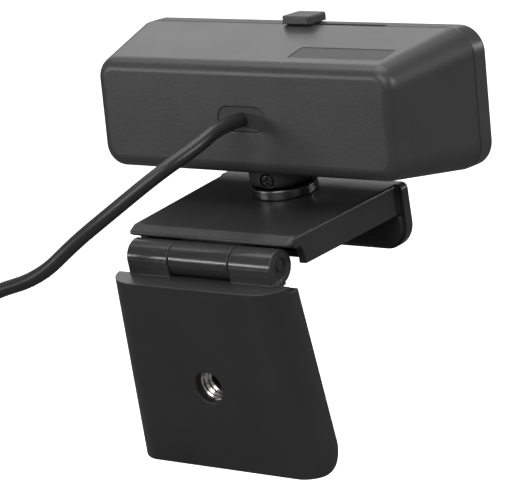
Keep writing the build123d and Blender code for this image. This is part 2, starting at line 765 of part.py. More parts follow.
# ================================================================ lens and electronics
window_seat = front_y + panel_inset + 1.0
with BuildPart() as lens_ring:
    with BuildSketch(across(front_y + 0.1, z=head_mid)):
        Circle(bezel_r)
        Circle(window_r, mode=Mode.SUBTRACT)
    extrude(amount=-(panel_rear - front_y - 0.1))
    with BuildSketch(across(window_seat, z=head_mid)):
        Circle(window_r)
        Circle(window_r - 0.8, mode=Mode.SUBTRACT)
    extrude(amount=-(panel_rear - window_seat))
    chamfer(faces().sort_by(lambda f: head_y.dot(f.center() - pivot))[0].inner_wires()[0].edges(), 0.4)
save(lens_ring, "lens_ring")

with BuildPart() as lens_window:
    with BuildSketch(across(window_seat, z=head_mid)):
        Circle(window_r - slip)
    extrude(amount=0.8)
save(lens_window, "lens_window")

barrel_front = -11.2
barrel_rear = -6.4
barrel_outer = 5.2
with BuildPart() as lens_barrel:
    with BuildSketch(across(barrel_front, z=head_mid)):
        Circle(barrel_outer)
        Circle(lens_r, mode=Mode.SUBTRACT)
    extrude(amount=-(barrel_rear - barrel_front))
save(lens_barrel, "lens_barrel")


def glass(front, thick, shoulder):
    """A round glass element with its front edge rounded over."""
    with BuildPart() as lens:
        with BuildSketch(across(front + thick, z=head_mid)):
            Circle(lens_r - snug)
        extrude(amount=thick)
        fillet(edges().sort_by(lambda e: head_y.dot(e.center() - pivot))[0], shoulder)
    return lens


front_glass = glass(barrel_front + 0.4, 1.6, 1.2)
save(front_glass, "front_glass")
rear_glass = glass(barrel_front + 3.0, 0.8, 0.5)
save(rear_glass, "rear_glass")

holder_front = -8.5
with BuildPart() as lens_holder:
    with BuildSketch(across(board_y, z=head_mid)):
        RectangleRounded(12.0, 12.0, 0.8)
        Circle(barrel_outer + snug, mode=Mode.SUBTRACT)
    extrude(amount=board_y - holder_front)
save(lens_holder, "lens_holder")

with BuildPart() as main_board:
    with BuildSketch(across(board_y, z=head_mid)):
        RectangleRounded(2 * board_half, board_tall, 1.0)
        with Locations(*[(x, z - head_mid) for x, z in board_screw_spots]):
            Circle(small_hole, mode=Mode.SUBTRACT)
    extrude(amount=-board_thick)
save(main_board, "main_board")


def on_board(x, z, wide, tall, thick):
    """A block that stands on the board's front face."""
    with BuildPart() as block:
        with BuildSketch(across(board_y, x=x, z=z)):
            Rectangle(wide, tall)
        extrude(amount=thick)
    return block


image_sensor = on_board(0, head_mid, 6.4, 4.8, 0.8)
save(image_sensor, "image_sensor")
controller_chip = on_board(-18.0, head_mid, 8.0, 8.0, 0.9)
save(controller_chip, "controller_chip")
status_led = on_board(led_x, head_mid, 1.6, 0.9, led_tall)
save(status_led, "status_led")

with BuildPart() as microphones:
    with BuildSketch(across(board_y, z=head_mid)):
        with Locations((-mic_x, 0), (mic_x, 0)):
            Rectangle(3.5, 2.7)
    extrude(amount=mic_tall)
save(microphones, "microphones")

with BuildPart() as mic_gaskets:
    with BuildSketch(across(board_y - mic_tall, z=head_mid)):
        with Locations((-mic_x, 0), (mic_x, 0)):
            Circle(mic_hole_r + 1.0)
            Circle(mic_hole_r, mode=Mode.SUBTRACT)
    extrude(amount=board_y - mic_tall - panel_rear)
save(mic_gaskets, "mic_gaskets")

with BuildPart() as light_pipe:
    with BuildSketch(across(board_y - led_tall - slip, x=led_x, z=head_mid)):
        Circle(led_hole_r - snug)
    extrude(amount=board_y - led_tall - slip - front_y - panel_inset - slip)
save(light_pipe, "light_pipe")

with BuildPart() as board_connector:
    with BuildSketch(across(board_rear, x=20.0, z=head_mid)):
        Rectangle(8.0, 4.0)
    extrude(amount=-3.5)
save(board_connector, "board_connector")

board_screws = screw(
    [across(board_y - small_head_tall, x, z) for x, z in board_screw_spots],
    small_head_r, small_head_tall, small_hole - snug, pilot_deep, 0.6,
)
save(board_screws, "board_screws")
shell_screws = screw(
    [across(panel_rear, x, z) for x, z in shell_screw_spots],
    small_hole, 0.1, small_hole - snug, shell_pilot_deep, 0.4,
)
save(shell_screws, "shell_screws")

# ================================================================ grommet and tilt bracket
grommet_out = back_y - 0.15
with BuildPart() as cable_grommet:
    with BuildSketch(across(grommet_out, z=back_mid)):
        SlotOverall(grommet_long, grommet_tall)
    extrude(amount=grommet_out - back_inner + snug)
    with BuildSketch(across(back_inner - snug, z=back_mid)):
        SlotOverall(grommet_long + 2.0, grommet_tall + 2.0)
    extrude(amount=0.8)
save(cable_grommet, "cable_grommet")

ear_near = knuckle_half + gap + 0.5
ear_thick = 1.2
with BuildPart() as tilt_bracket:
    for side in (-1, 1):
        with BuildSketch(sideways(side * ear_near)):
            Circle(bracket_half)
            Rectangle(2 * bracket_half, bracket_z + bracket_thick, align=(Align.CENTER, Align.MIN))
        extrude(amount=side * ear_thick)
    with BuildSketch(level(bracket_z)):
        Rectangle(2 * (bracket_post_x + 3.0), 2 * bracket_half)
        fillet(vertices(), 1.0)
        with Locations((-bracket_post_x, 0), (bracket_post_x, 0)):
            Circle(small_hole, mode=Mode.SUBTRACT)
    extrude(amount=bracket_thick)
    with Locations(sideways(0).location):
        Cylinder(tilt_pin_r + snug, 4 * ear_near, mode=Mode.SUBTRACT)
save(tilt_bracket, "tilt_bracket")

bracket_screws = screw(
    [level(bracket_z + bracket_thick + small_head_tall, x) for x in (-bracket_post_x, bracket_post_x)],
    small_head_r, small_head_tall, small_hole - snug, pilot_deep, 0.6,
)
save(bracket_screws, "bracket_screws")

pin_head = 0.8
ear_far = ear_near + ear_thick
with BuildPart() as tilt_pin:
    with BuildSketch(sideways(-ear_far - pin_head)):
        Circle(tilt_pin_r)
    extrude(amount=2 * ear_far + pin_head)
    with BuildSketch(sideways(ear_far)):
        Circle(2.0)
    extrude(amount=pin_head)
save(tilt_pin, "tilt_pin")

with BuildPart() as tilt_clip:
    with BuildSketch(sideways(-ear_far)):
        Circle(2.0)
        Circle(tilt_pin_r + snug, mode=Mode.SUBTRACT)
    extrude(amount=-0.5)
save(tilt_clip, "tilt_clip")

with BuildPart() as tilt_washers:
    for side in (-1, 1):
        with BuildSketch(sideways(side * (ear_near - 0.5))):
            Circle(knuckle_r)
            Circle(tilt_pin_r + snug, mode=Mode.SUBTRACT)
        extrude(amount=side * 0.5)
save(tilt_washers, "tilt_washers")

# ================================================================ shutter
stem_front = parting_y - gap - stem_thick
with BuildPart() as shutter_slider:
    with BuildSketch(level(head_top + gap)):
        with Locations((tab_x, (tab_front + tab_rear) / 2)):
            RectangleRounded(tab_width, tab_rear - tab_front, 0.8)
    extrude(amount=tab_thick)
    fillet(edges().sort_by(lambda e: head_z.dot(e.center() - pivot))[-8:], 0.4)
    with BuildSketch(level(head_mid + blade_size / 2)):
        with Locations((tab_x, stem_front)):
            Rectangle(stem_width, stem_thick, align=(Align.CENTER, Align.MIN))
    extrude(amount=head_top + gap - head_mid - blade_size / 2)
save(shutter_slider, "shutter_slider")

with BuildPart() as shutter_blade:
    with BuildSketch(across(stem_front + blade_thick, x=tab_x, z=head_mid)):
        RectangleRounded(blade_size, blade_size, 1.0)
    extrude(amount=blade_thick)
save(shutter_blade, "shutter_blade")

# ================================================================ lead
# Straight out of the grommet, down past the clip, then hanging to a tied coil. Its points are chosen.
exit_point = in_head(0, grommet_out, back_mid)
lead_route = [
    exit_point,
    in_head(0, grommet_out + 8.0, back_mid),
    (0.8, 20.0, 25.4),
    (5.2, 27.8, 22.2),
    (15.1, 35.9, 14.4),
    (21.5, 39.3, 9.7),
    (30.8, 42.6, 1.9),
    (43.3, 45.6, -1.2),
    (54.0, 48.7, -8.2),
    (61.0, 52.2, -15.8),
    (65.0, 54.7, -25.8),
    (66.5, 55.7, -37.8),
    (66.0, 56.0, -50.8),
    (66.4, 55.7, -64.8),
    (66.1, 55.9, -78.3),
]
coil_drop = 3.0               # from the route's last point down to the height of the coil's middle


def tube_radii(points):
    """For each corner, an arc as large as its two runs allow."""
    places = [Vector(p) for p in points]
    radii = []
    for before, here, after in zip(places, places[1:], places[2:]):
        turn = math.radians((here - before).get_angle(after - here))
        radii.append(0.45 * min((here - before).length, (after - here).length) / math.tan(turn / 2))
    return radii


lead_radii = tube_radii(lead_route)
print("lead bend radii", [round(r, 1) for r in lead_radii])
with BuildPart() as usb_cable:
    with BuildLine() as lead_line:
        FilletPolyline(*lead_route, radius=lead_radii)
    with BuildSketch(Plane(origin=lead_line.line @ 0, z_dir=lead_line.line % 0)):
        Circle(lead_d / 2)
    sweep()
save(usb_cable, "usb_cable")
section = math.pi * lead_d * lead_d / 4
route_length = sum(edge.length for edge in lead_line.edges())
print("lead tube volume", round(usb_cable.part.volume, 1))
print("section x length", round(section * route_length, 1))

# The rest is wound into a coil of 14 turns in four columns, two of four turns and two of three.
full_columns = 2
short_columns = 2
columns = full_columns + short_columns
turns = full_columns * 4 + short_columns * 3
wound = lead_length - route_length - coil_drop - tail_length
coil_mean = (wound / (2 * math.pi) - short_columns * 3 * lead_d / 2) / turns
coil_outer_row = coil_mean + 1.5 * lead_d
coil_side = columns * lead_d
coil_entry = Vector(lead_route[-1]) - Vector(0, 0, coil_drop)
coil_centre = coil_entry - Vector(coil_outer_row, 1.5 * lead_d, 0)
print("coil mean radius", round(coil_mean, 2), "centre", coil_centre)
with BuildPart() as cable_coil:
    with BuildSketch(Plane.XY.offset(coil_centre.Z)):
        with Locations((coil_centre.X + coil_mean, coil_centre.Y)):
            RectangleRounded(coil_side, coil_side, lead_d / 2)
    revolve(axis=Axis(coil_centre, (0, 1, 0)))
save(cable_coil, "cable_coil")

tie_long = 8.0
tie_thick = 1.0
tie_sag = 0.9                 # room for the curve of the coil inside the straight tie
with BuildPart() as cable_tie:
    with BuildSketch(Plane.YZ.offset(coil_centre.X - tie_long / 2)):
        with Locations((coil_centre.Y, coil_centre.Z + coil_mean - tie_sag / 2)):
            RectangleRounded(coil_side + 2 * (tie_thick + slip), coil_side + tie_sag + 2 * (tie_thick + slip), 1.5)
            Rectangle(coil_side + 2 * slip, coil_side + tie_sag + 2 * slip, mode=Mode.SUBTRACT)
    extrude(amount=tie_long)
save(cable_tie, "cable_tie")

tail_top = coil_entry - Vector(0, 3 * lead_d, 0)
plug_top = tail_top - Vector(0, 0, tail_length)
with BuildPart() as cable_tail:
    with BuildSketch(Plane(origin=plug_top)):
        Circle(lead_d / 2)
    extrude(amount=0.6 * tail_length)
save(cable_tail, "cable_tail")

boot_long = 8.0
with BuildPart() as plug_body:
    with BuildSketch(Plane(origin=plug_top)):
        Circle(lead_d / 2 + 0.6)
    with BuildSketch(Plane(origin=plug_top - Vector(0, 0, boot_long))):
        Circle(lead_d / 2 + 1.6)
    loft()
    with BuildSketch(Plane(origin=plug_top - Vector(0, 0, boot_long))):
        RectangleRounded(plug_thick, plug_wide, 1.5)
    extrude(amount=-plug_length)
    fillet(edges().group_by(Axis.Z)[0], 0.8)
    shell_top = plug_top - Vector(0, 0, boot_long + plug_length - usb_in)
    with BuildSketch(Plane(origin=shell_top)):
        Rectangle(usb_thick + snug, usb_wide + snug)
    extrude(amount=-usb_in, mode=Mode.SUBTRACT)
save(plug_body, "plug_body")

sheet = 0.3
with BuildPart() as plug_shell:
    with BuildSketch(Plane(origin=shell_top)):
        Rectangle(usb_thick, usb_wide)
        Rectangle(usb_thick - 2 * sheet, usb_wide - 2 * sheet, mode=Mode.SUBTRACT)
    extrude(amount=-(usb_in + usb_out))
    with BuildSketch(Plane.YZ.offset(plug_top.X - usb_thick)):
        with Locations([(plug_top.Y + side * 2.9, shell_top.Z - usb_in - 0.55 * usb_out) for side in (-1, 1)]):
            Rectangle(2.4, 2.2)
    extrude(amount=2 * usb_thick, mode=Mode.SUBTRACT)
save(plug_shell, "plug_shell")

tongue_thick = 1.9
tongue_x = plug_top.X - usb_thick / 2 + sheet + slip
with BuildPart() as plug_tongue:
    with BuildSketch(Plane(origin=(tongue_x, plug_top.Y, shell_top.Z - slip))):
        Rectangle(tongue_thick, usb_wide - 2 * sheet - 2 * slip, align=(Align.MIN, Align.CENTER))
    extrude(amount=-(usb_in + usb_out - 0.8))
save(plug_tongue, "plug_tongue")

contact_thick = 0.2
with BuildPart() as plug_contacts:
    with BuildSketch(Plane(origin=(tongue_x + tongue_thick, plug_top.Y, shell_top.Z - usb_in))):
        with Locations([(0, y) for y in (-3.5, -1.0, 1.0, 3.5)]):
            Rectangle(contact_thick, 1.0, align=(Align.MIN, Align.CENTER))
    extrude(amount=-(usb_out - 2.0))
save(plug_contacts, "plug_contacts")
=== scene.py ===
import json
import math

import bmesh
import bpy
from mathutils import Matrix, Vector


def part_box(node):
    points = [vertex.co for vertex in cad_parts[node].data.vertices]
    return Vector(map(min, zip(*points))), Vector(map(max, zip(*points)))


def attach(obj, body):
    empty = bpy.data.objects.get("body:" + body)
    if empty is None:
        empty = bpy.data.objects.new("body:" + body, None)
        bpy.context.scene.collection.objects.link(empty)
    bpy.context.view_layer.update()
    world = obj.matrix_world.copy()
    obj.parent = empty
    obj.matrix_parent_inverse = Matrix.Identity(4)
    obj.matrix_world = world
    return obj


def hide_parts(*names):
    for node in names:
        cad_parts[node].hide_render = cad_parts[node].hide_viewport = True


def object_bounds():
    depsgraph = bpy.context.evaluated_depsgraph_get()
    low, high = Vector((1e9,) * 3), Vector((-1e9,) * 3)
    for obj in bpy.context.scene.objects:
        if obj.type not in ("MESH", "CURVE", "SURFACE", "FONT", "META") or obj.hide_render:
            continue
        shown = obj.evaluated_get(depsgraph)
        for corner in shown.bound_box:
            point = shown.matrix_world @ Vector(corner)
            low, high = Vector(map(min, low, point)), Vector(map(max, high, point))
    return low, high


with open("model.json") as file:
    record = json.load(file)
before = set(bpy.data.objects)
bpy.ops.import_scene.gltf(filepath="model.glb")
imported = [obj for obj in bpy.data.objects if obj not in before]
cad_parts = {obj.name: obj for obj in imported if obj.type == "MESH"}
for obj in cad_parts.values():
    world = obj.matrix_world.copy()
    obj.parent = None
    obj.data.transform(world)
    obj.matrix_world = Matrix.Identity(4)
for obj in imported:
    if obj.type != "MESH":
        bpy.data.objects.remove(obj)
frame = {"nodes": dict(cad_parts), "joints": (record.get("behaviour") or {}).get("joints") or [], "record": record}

cad_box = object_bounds()
scene = bpy.context.scene

# ---------------------------------------------------------------- studio
# The webcam hangs over a plain pale floor, seen from behind through a long lens that sits a
# little above it and to its right. Large soft lights stand in front of it and overhead, and
# two low strips draw the thin bright lines along the upper edges of the housing.
eye = Vector((-0.38542, 0.47386, 0.18842))
eye_right = Vector((-0.79161361, -0.59221249, -0.15044022))
eye_up = Vector((0.06682563, -0.32864514, 0.94208636))
eye_ahead = Vector((0.60735676, -0.73571512, -0.29973494))
lens_mm = 207.24
camera = bpy.data.objects.new("camera", bpy.data.cameras.new("camera"))
camera.data.sensor_fit = "HORIZONTAL"
camera.data.sensor_width = 36.0
camera.data.lens = lens_mm
camera.data.clip_start = 0.01
camera.data.clip_end = 50.0
view = Matrix((eye_right, eye_up, -eye_ahead)).transposed().to_4x4()
view.translation = eye
camera.matrix_world = view
scene.collection.objects.link(camera)
scene.camera = camera
scene.view_settings.view_transform = "Standard"


def softbox(name, place, aim, width, height, watts):
    """A soft white area light that stands at place and faces aim."""
    lamp = bpy.data.lights.new(name, "AREA")
    lamp.shape = "RECTANGLE"
    lamp.size = width
    lamp.size_y = height
    lamp.energy = watts
    stand = bpy.data.objects.new(name, lamp)
    stand.location = place
    stand.rotation_euler = (Vector(aim) - Vector(place)).to_track_quat("-Z", "Y").to_euler()
    scene.collection.objects.link(stand)


head_place = Vector((0.0, 0.0, 0.02))
softbox("overhead_softbox", (0.25, -0.1, 1.2), head_place, 1.2, 1.0, 10.0)
softbox("front_softbox", (0.85, -0.95, 0.62), head_place, 0.9, 0.6, 2.6)
softbox("rear_softbox", (-0.15, 1.35, 0.95), head_place, 1.0, 0.7, 9.6)
softbox("side_softbox", (-1.5, 0.15, 0.75), head_place, 0.8, 0.6, 9.0)
softbox("rear_strip", (0.86, 1.02, 0.2), head_place, 0.5, 0.1, 3.0)
softbox("side_strip", (-0.9, -1.0, 0.2), head_place, 0.5, 0.1, 3.0)

world = bpy.data.worlds.new("studio_air")
world.use_nodes = True
world.node_tree.nodes["Background"].inputs["Color"].default_value = (1.0, 1.0, 1.0, 1.0)
world.node_tree.nodes["Background"].inputs["Strength"].default_value = 0.22
scene.world = world


def put(tree, kind, inputs=(), **settings):
    """A node with its settings. Inputs are numbers, colours or other nodes' outputs, by socket."""
    made = tree.nodes.new("ShaderNode" + kind)
    for name, value in settings.items():
        setattr(made, name, value)
    for socket, value in dict(inputs).items():
        if isinstance(value, bpy.types.NodeSocket):
            tree.links.new(value, made.inputs[socket])
        else:
            made.inputs[socket].default_value = value
    return made


floor_below = 0.1
floor_glow = 0.75
floor_seen_by_light = (0.16, 0.16, 0.16, 1.0)
bm = bmesh.new()
bmesh.ops.create_grid(bm, x_segments=1, y_segments=1, size=6.0)
bmesh.ops.translate(bm, vec=(0, 0, cad_box[0].z - floor_below), verts=bm.verts)
floor = bpy.data.objects.new("floor", bpy.data.meshes.new("floor"))
bm.to_mesh(floor.data)
bm.free()
scene.collection.objects.link(floor)
paper = bpy.data.materials.new("white_paper")
paper.use_nodes = True
tree = paper.node_tree
tree.nodes.clear()
mottle = put(tree, "TexNoise", {"Scale": 3.0, "Detail": 4.0})
tone = put(tree, "MapRange", {"Value": mottle.outputs["Fac"], "To Min": 0.84, "To Max": 0.9})
lit = put(tree, "BsdfDiffuse", {"Color": tone.outputs["Result"]})
lift = put(tree, "Emission", {"Color": (1.0, 1.0, 1.0, 1.0), "Strength": floor_glow})
seen = put(tree, "AddShader", {0: lit.outputs[0], 1: lift.outputs[0]})
dim = put(tree, "BsdfDiffuse", {"Color": floor_seen_by_light})
ray = put(tree, "LightPath")
both = put(tree, "MixShader", {0: ray.outputs["Is Camera Ray"], 1: dim.outputs[0], 2: seen.outputs[0]})
put(tree, "OutputMaterial", {"Surface": both.outputs[0]})
floor.data.materials.append(paper)

# ---------------------------------------------------------------- lead
# A thin round black lead, 1.8 m long, in a soft satin jacket. It leaves the grommet straight
# back, bends down past the leg and hangs to where its spare length is wound into a small
# round coil held by a strap, with a plug on the end.
lead_d = 0.0032
lead_points = [
    (0.0, 0.004353, 0.027001),
    (0.0, 0.012319, 0.027740),
    (0.0008, 0.0200, 0.0254),
    (0.0052, 0.0278, 0.0222),
    (0.0151, 0.0359, 0.0144),
    (0.0215, 0.0393, 0.0097),
    (0.0308, 0.0426, 0.0019),
    (0.0433, 0.0456, -0.0012),
    (0.0540, 0.0487, -0.0082),
    (0.0610, 0.0522, -0.0158),
    (0.0650, 0.0547, -0.0258),
    (0.0665, 0.0557, -0.0378),
    (0.0660, 0.0560, -0.0508),
    (0.0664, 0.0557, -0.0648),
    (0.0661, 0.0559, -0.0783),
]
coil_low, coil_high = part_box("cable_coil")
coil_middle = (coil_low + coil_high) / 2
coil_mean = (coil_high.x - coil_low.x) / 2 - 2.0 * lead_d
turn_points = 12
turn_reach = 1.0 / math.cos(math.pi / turn_points)
# column across the coil and row out from its inside, for each of the 14 turns
coil_turns = [
    (0, 4), (0, 3), (0, 2), (0, 1), (1, 1), (1, 2), (1, 3), (1, 4), (2, 4), (2, 3), (2, 2), (3, 2), (3, 3),
    (3, 4),
]


def turn_size(turn):
    """Radius and place across the coil of one turn."""
    column, row = coil_turns[min(turn, len(coil_turns) - 1)]
    return coil_mean + (row - 2.5) * lead_d, (1.5 - column) * lead_d


for turn in range(len(coil_turns)):
    radius, across = turn_size(turn)
    next_radius, next_across = turn_size(turn + 1)
    for step in range(turn_points):
        angle = 2 * math.pi * step / turn_points
        share = max(0.0, (step - 7.0) / 5.0)
        reach = (radius + (next_radius - radius) * share) * turn_reach
        lead_points.append((
            coil_middle.x + reach * math.cos(angle),
            coil_middle.y + across + (next_across - across) * share,
            coil_middle.z - reach * math.sin(angle),
        ))
tail_low, tail_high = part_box("cable_tail")
tail_x = (tail_low.x + tail_high.x) / 2
tail_y = (tail_low.y + tail_high.y) / 2
tail_drop = coil_middle.z - tail_low.z
for share in (0.0, 0.3, 0.65, 1.0):
    lead_points.append((tail_x, tail_y, coil_middle.z - share * tail_drop))

lead_curve = bpy.data.curves.new("lead", "CURVE")
lead_curve.dimensions = "3D"
lead_curve.resolution_u = 6
lead_curve.bevel_depth = lead_d / 2
lead_curve.bevel_resolution = 5
lead_curve.use_fill_caps = True
run = lead_curve.splines.new("NURBS")
run.points.add(len(lead_points) - 1)
for point, place in zip(run.points, lead_points):
    point.co = (*place, 1.0)
run.order_u = 3
run.use_endpoint_u = True
lead = bpy.data.objects.new("lead", lead_curve)
scene.collection.objects.link(lead)


def new_group(name, inputs, outputs):
    """An empty node group with its named sockets, given as (name, kind, start value)."""
    group = bpy.data.node_groups.new(name, "ShaderNodeTree")
    for label, kind, value in inputs:
        made = group.interface.new_socket(name=label, in_out="INPUT", socket_type="NodeSocket" + kind)
        made.default_value = value
    for label, kind in outputs:
        group.interface.new_socket(name=label, in_out="OUTPUT", socket_type="NodeSocket" + kind)
    return group, group.nodes.new("NodeGroupInput"), group.nodes.new("NodeGroupOutput")


def use(tree, group, inputs=()):
    """One placed copy of a node group."""
    made = tree.nodes.new("ShaderNodeGroup")
    made.node_tree = group
    for socket, value in dict(inputs).items():
        if isinstance(value, bpy.types.NodeSocket):
            tree.links.new(value, made.inputs[socket])
        else:
            made.inputs[socket].default_value = value
    return made


# The grain that a spark-eroded mould leaves on plastic and rubber: small round pits of two
# sizes over a slow swell. It gives a height and a mask of the pits.
grain_group, given, result = new_group(
    "mould_grain", [("Scale", "Float", 2600.0), ("Softness", "Float", 0.5)], [("Height", "Float"), ("Pits", "Float")]
)
place = put(grain_group, "TexCoord")
fine = put(grain_group, "TexNoise", {
    "Vector": place.outputs["Object"], "Scale": given.outputs["Scale"], "Detail": 3.0, "Roughness": 0.55,
})
coarse_scale = put(grain_group, "Math", {0: given.outputs["Scale"], 1: 0.45}, operation="MULTIPLY")
pits = put(grain_group, "TexVoronoi", {
    "Vector": place.outputs["Object"], "Scale": coarse_scale.outputs[0], "Smoothness": given.outputs["Softness"],
}, feature="SMOOTH_F1")
grain_sum = put(
    grain_group, "Math", {0: pits.outputs["Distance"], 1: 0.6, 2: fine.outputs["Fac"]},
    operation="MULTIPLY_ADD",
)
grain_group.links.new(grain_sum.outputs[0], result.inputs["Height"])
pit_mask = put(grain_group, "MapRange", {"Value": grain_sum.outputs[0], "From Min": 0.55, "From Max": 1.05})
grain_group.links.new(pit_mask.outputs["Result"], result.inputs["Pits"])

# Slow unevenness of colour and gloss, as on any moulded or handled surface, with a few specks
# of dust that lie on what faces up.
drift_group, given, result = new_group(
    "handled_surface",
    [("Colour", "Color", (0.05, 0.05, 0.05, 1.0)), ("Roughness", "Float", 0.4), ("Spread", "Float", 0.12),
     ("Dust", "Float", 0.3)],
    [("Colour", "Color"), ("Roughness", "Float")],
)
place = put(drift_group, "TexCoord")
slow = put(
    drift_group, "TexNoise",
    {"Vector": place.outputs["Object"], "Scale": 70.0, "Detail": 4.0, "Roughness": 0.6},
)
low = put(drift_group, "Math", {0: 1.0, 1: given.outputs["Spread"]}, operation="SUBTRACT")
high = put(drift_group, "Math", {0: 1.0, 1: given.outputs["Spread"]}, operation="ADD")
shade = put(drift_group, "MapRange", {
    "Value": slow.outputs["Fac"], "From Min": 0.3, "From Max": 0.7, "To Min": low.outputs[0], "To Max": high.outputs[0],
})
tinted = put(
    drift_group, "VectorMath", {0: given.outputs["Colour"], 3: shade.outputs["Result"]}, operation="SCALE",
)
speck = put(drift_group, "TexVoronoi", {"Vector": place.outputs["Object"], "Scale": 520.0, "Randomness": 1.0})
speck_size = put(drift_group, "TexNoise", {"Vector": place.outputs["Object"], "Scale": 240.0, "Detail": 1.0})
speck_edge = put(drift_group, "MapRange", {
    "Value": speck_size.outputs["Fac"], "From Min": 0.58, "From Max": 0.75, "To Min": 0.0, "To Max": 0.16,
})
is_speck = put(
    drift_group, "Math", {0: speck.outputs["Distance"], 1: speck_edge.outputs["Result"]},
    operation="LESS_THAN",
)
facing = put(drift_group, "NewGeometry")
upward = put(drift_group, "SeparateXYZ", {0: facing.outputs["Normal"]})
lying = put(drift_group, "MapRange", {"Value": upward.outputs["Z"], "From Min": 0.3, "From Max": 0.95})
dusty = put(drift_group, "Math", {0: is_speck.outputs[0], 1: lying.outputs["Result"]}, operation="MULTIPLY")
dusted = put(drift_group, "Math", {0: dusty.outputs[0], 1: given.outputs["Dust"]}, operation="MULTIPLY")
covered = put(drift_group, "Mix", {
    0: dusted.outputs[0], 6: tinted.outputs[0], 7: (0.3, 0.29, 0.28, 1.0),
}, data_type="RGBA")
drift_group.links.new(covered.outputs[2], result.inputs["Colour"])
gloss = put(drift_group, "MapRange", {
    "Value": slow.outputs["Fac"], "From Min": 0.3, "From Max": 0.7, "To Min": -0.35, "To Max": 0.35,
})
gloss_step = put(
    drift_group, "Math", {0: gloss.outputs["Result"], 1: given.outputs["Spread"]}, operation="MULTIPLY",
)
gloss_sum = put(
    drift_group, "Math", {0: given.outputs["Roughness"], 1: gloss_step.outputs[0]}, operation="ADD",
)
drift_group.links.new(gloss_sum.outputs[0], result.inputs["Roughness"])

# Where an edge is broken by a small radius, hands polish it: the group gives the rounded
# normal there, and how much of an edge the place is. The mouldings lighten their colour by that mask, partly as rub
# wear and partly as a painted highlight.
edge_group, given, result = new_group(
    "broken_edge", [("Radius", "Float", 0.0003)], [("Normal", "Vector"), ("Edge", "Float")]
)
rounded = put(edge_group, "Bevel", {"Radius": given.outputs["Radius"]}, samples=6)
flat = put(edge_group, "NewGeometry")
aligned = put(
    edge_group, "VectorMath", {0: rounded.outputs[0], 1: flat.outputs["Normal"]}, operation="DOT_PRODUCT",
)
edge_mask = put(edge_group, "MapRange", {
    "Value": aligned.outputs["Value"], "From Min": 0.97, "From Max": 0.75, "To Min": 0.0, "To Max": 1.0,
})
edge_group.links.new(rounded.outputs[0], result.inputs["Normal"])
edge_group.links.new(edge_mask.outputs["Result"], result.inputs["Edge"])


def moulding(
    name, colour, roughness, grain=2600.0, depth=0.000012, spread=0.12, dust=0.3, edge=0.0003, edge_wear_and_sheen=0.5,
):
    """A moulded plastic or rubber: its grain, its uneven gloss, its broken edges, lightened in colour partly as rub
    wear and partly as a painted highlight, and its dust.
    """
    material = bpy.data.materials.new(name)
    material.use_nodes = True
    tree = material.node_tree
    shader = tree.nodes["Principled BSDF"]
    texture = use(tree, grain_group, {"Scale": grain})
    broken = use(tree, edge_group, {"Radius": edge})
    # lighter colour along edges: partly rub wear, partly a painted highlight
    wear_and_sheen_gain = put(
        tree, "Math", {0: broken.outputs["Edge"], 1: edge_wear_and_sheen, 2: 1.0}, operation="MULTIPLY_ADD", name="wear_and_sheen_gain",
    )
    base = put(tree, "VectorMath", {0: colour, 3: wear_and_sheen_gain.outputs[0]}, operation="SCALE", name="base")
    surface = use(tree, drift_group, {
        "Colour": base.outputs[0], "Roughness": roughness, "Spread": spread, "Dust": dust,
    })
    surface.name = "surface"
    bump = put(tree, "Bump", {
        "Strength": 1.0, "Distance": depth, "Height": texture.outputs["Height"], "Normal": broken.outputs["Normal"],
    }, name="bump")
    tree.links.new(surface.outputs["Colour"], shader.inputs["Base Color"])
    tree.links.new(surface.outputs["Roughness"], shader.inputs["Roughness"])
    tree.links.new(bump.outputs[0], shader.inputs["Normal"])
    return material


def dress(material, *names):
    """Gives CAD nodes their finish."""
    for name in names:
        piece = frame["nodes"][name]
        if not piece.material_slots:
            piece.data.materials.append(material)
        for held in piece.material_slots:
            held.material = material


jacket = moulding(
    "lead_jacket", (0.022, 0.022, 0.023), 0.34, grain=3200.0, depth=0.000008, spread=0.1, dust=0.1, edge_wear_and_sheen=0.0,
)
lead.data.materials.append(jacket)
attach(lead, "head")
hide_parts("usb_cable", "cable_coil", "cable_tail")

# ---------------------------------------------------------------- strap
# The coil is held by a woven hook-and-loop strap, a little longer than it needs to be, so its
# end lies over its start.
tie_low, tie_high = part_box("cable_tie")
tie_middle = (tie_low + tie_high) / 2
strap_thick = 0.0008
strap_round = 0.0016
half_wide = (tie_high.x - tie_low.x) / 2 - 0.0002
half_deep = (tie_high.y - tie_low.y) / 2 - strap_thick / 2
half_tall = (tie_high.z - tie_low.z) / 2 - strap_thick / 2
bm = bmesh.new()
bmesh.ops.create_grid(bm, x_segments=1, y_segments=1, size=1.0)
bmesh.ops.scale(bm, vec=(half_deep, half_tall, 1.0), verts=bm.verts)
bmesh.ops.bevel(
    bm, geom=list(bm.verts), offset=strap_round, offset_type="OFFSET", affect="VERTICES", segments=6,
    profile=0.5, material=-1,
)
bmesh.ops.rotate(bm, cent=(0, 0, 0), matrix=Matrix(((0, 0, 1), (1, 0, 0), (0, 1, 0))), verts=bm.verts)
outline = list(bm.edges)
bmesh.ops.delete(bm, geom=list(bm.faces), context="FACES_ONLY")
bmesh.ops.translate(bm, vec=(-half_wide, 0, 0), verts=bm.verts)
pulled = bmesh.ops.extrude_edge_only(bm, edges=outline)["geom"]
bmesh.ops.translate(
    bm, vec=(2 * half_wide, 0, 0), verts=[v for v in pulled if isinstance(v, bmesh.types.BMVert)]
)
bmesh.ops.recalc_face_normals(bm, faces=bm.faces)
bmesh.ops.solidify(bm, geom=list(bm.faces), thickness=strap_thick / 2)
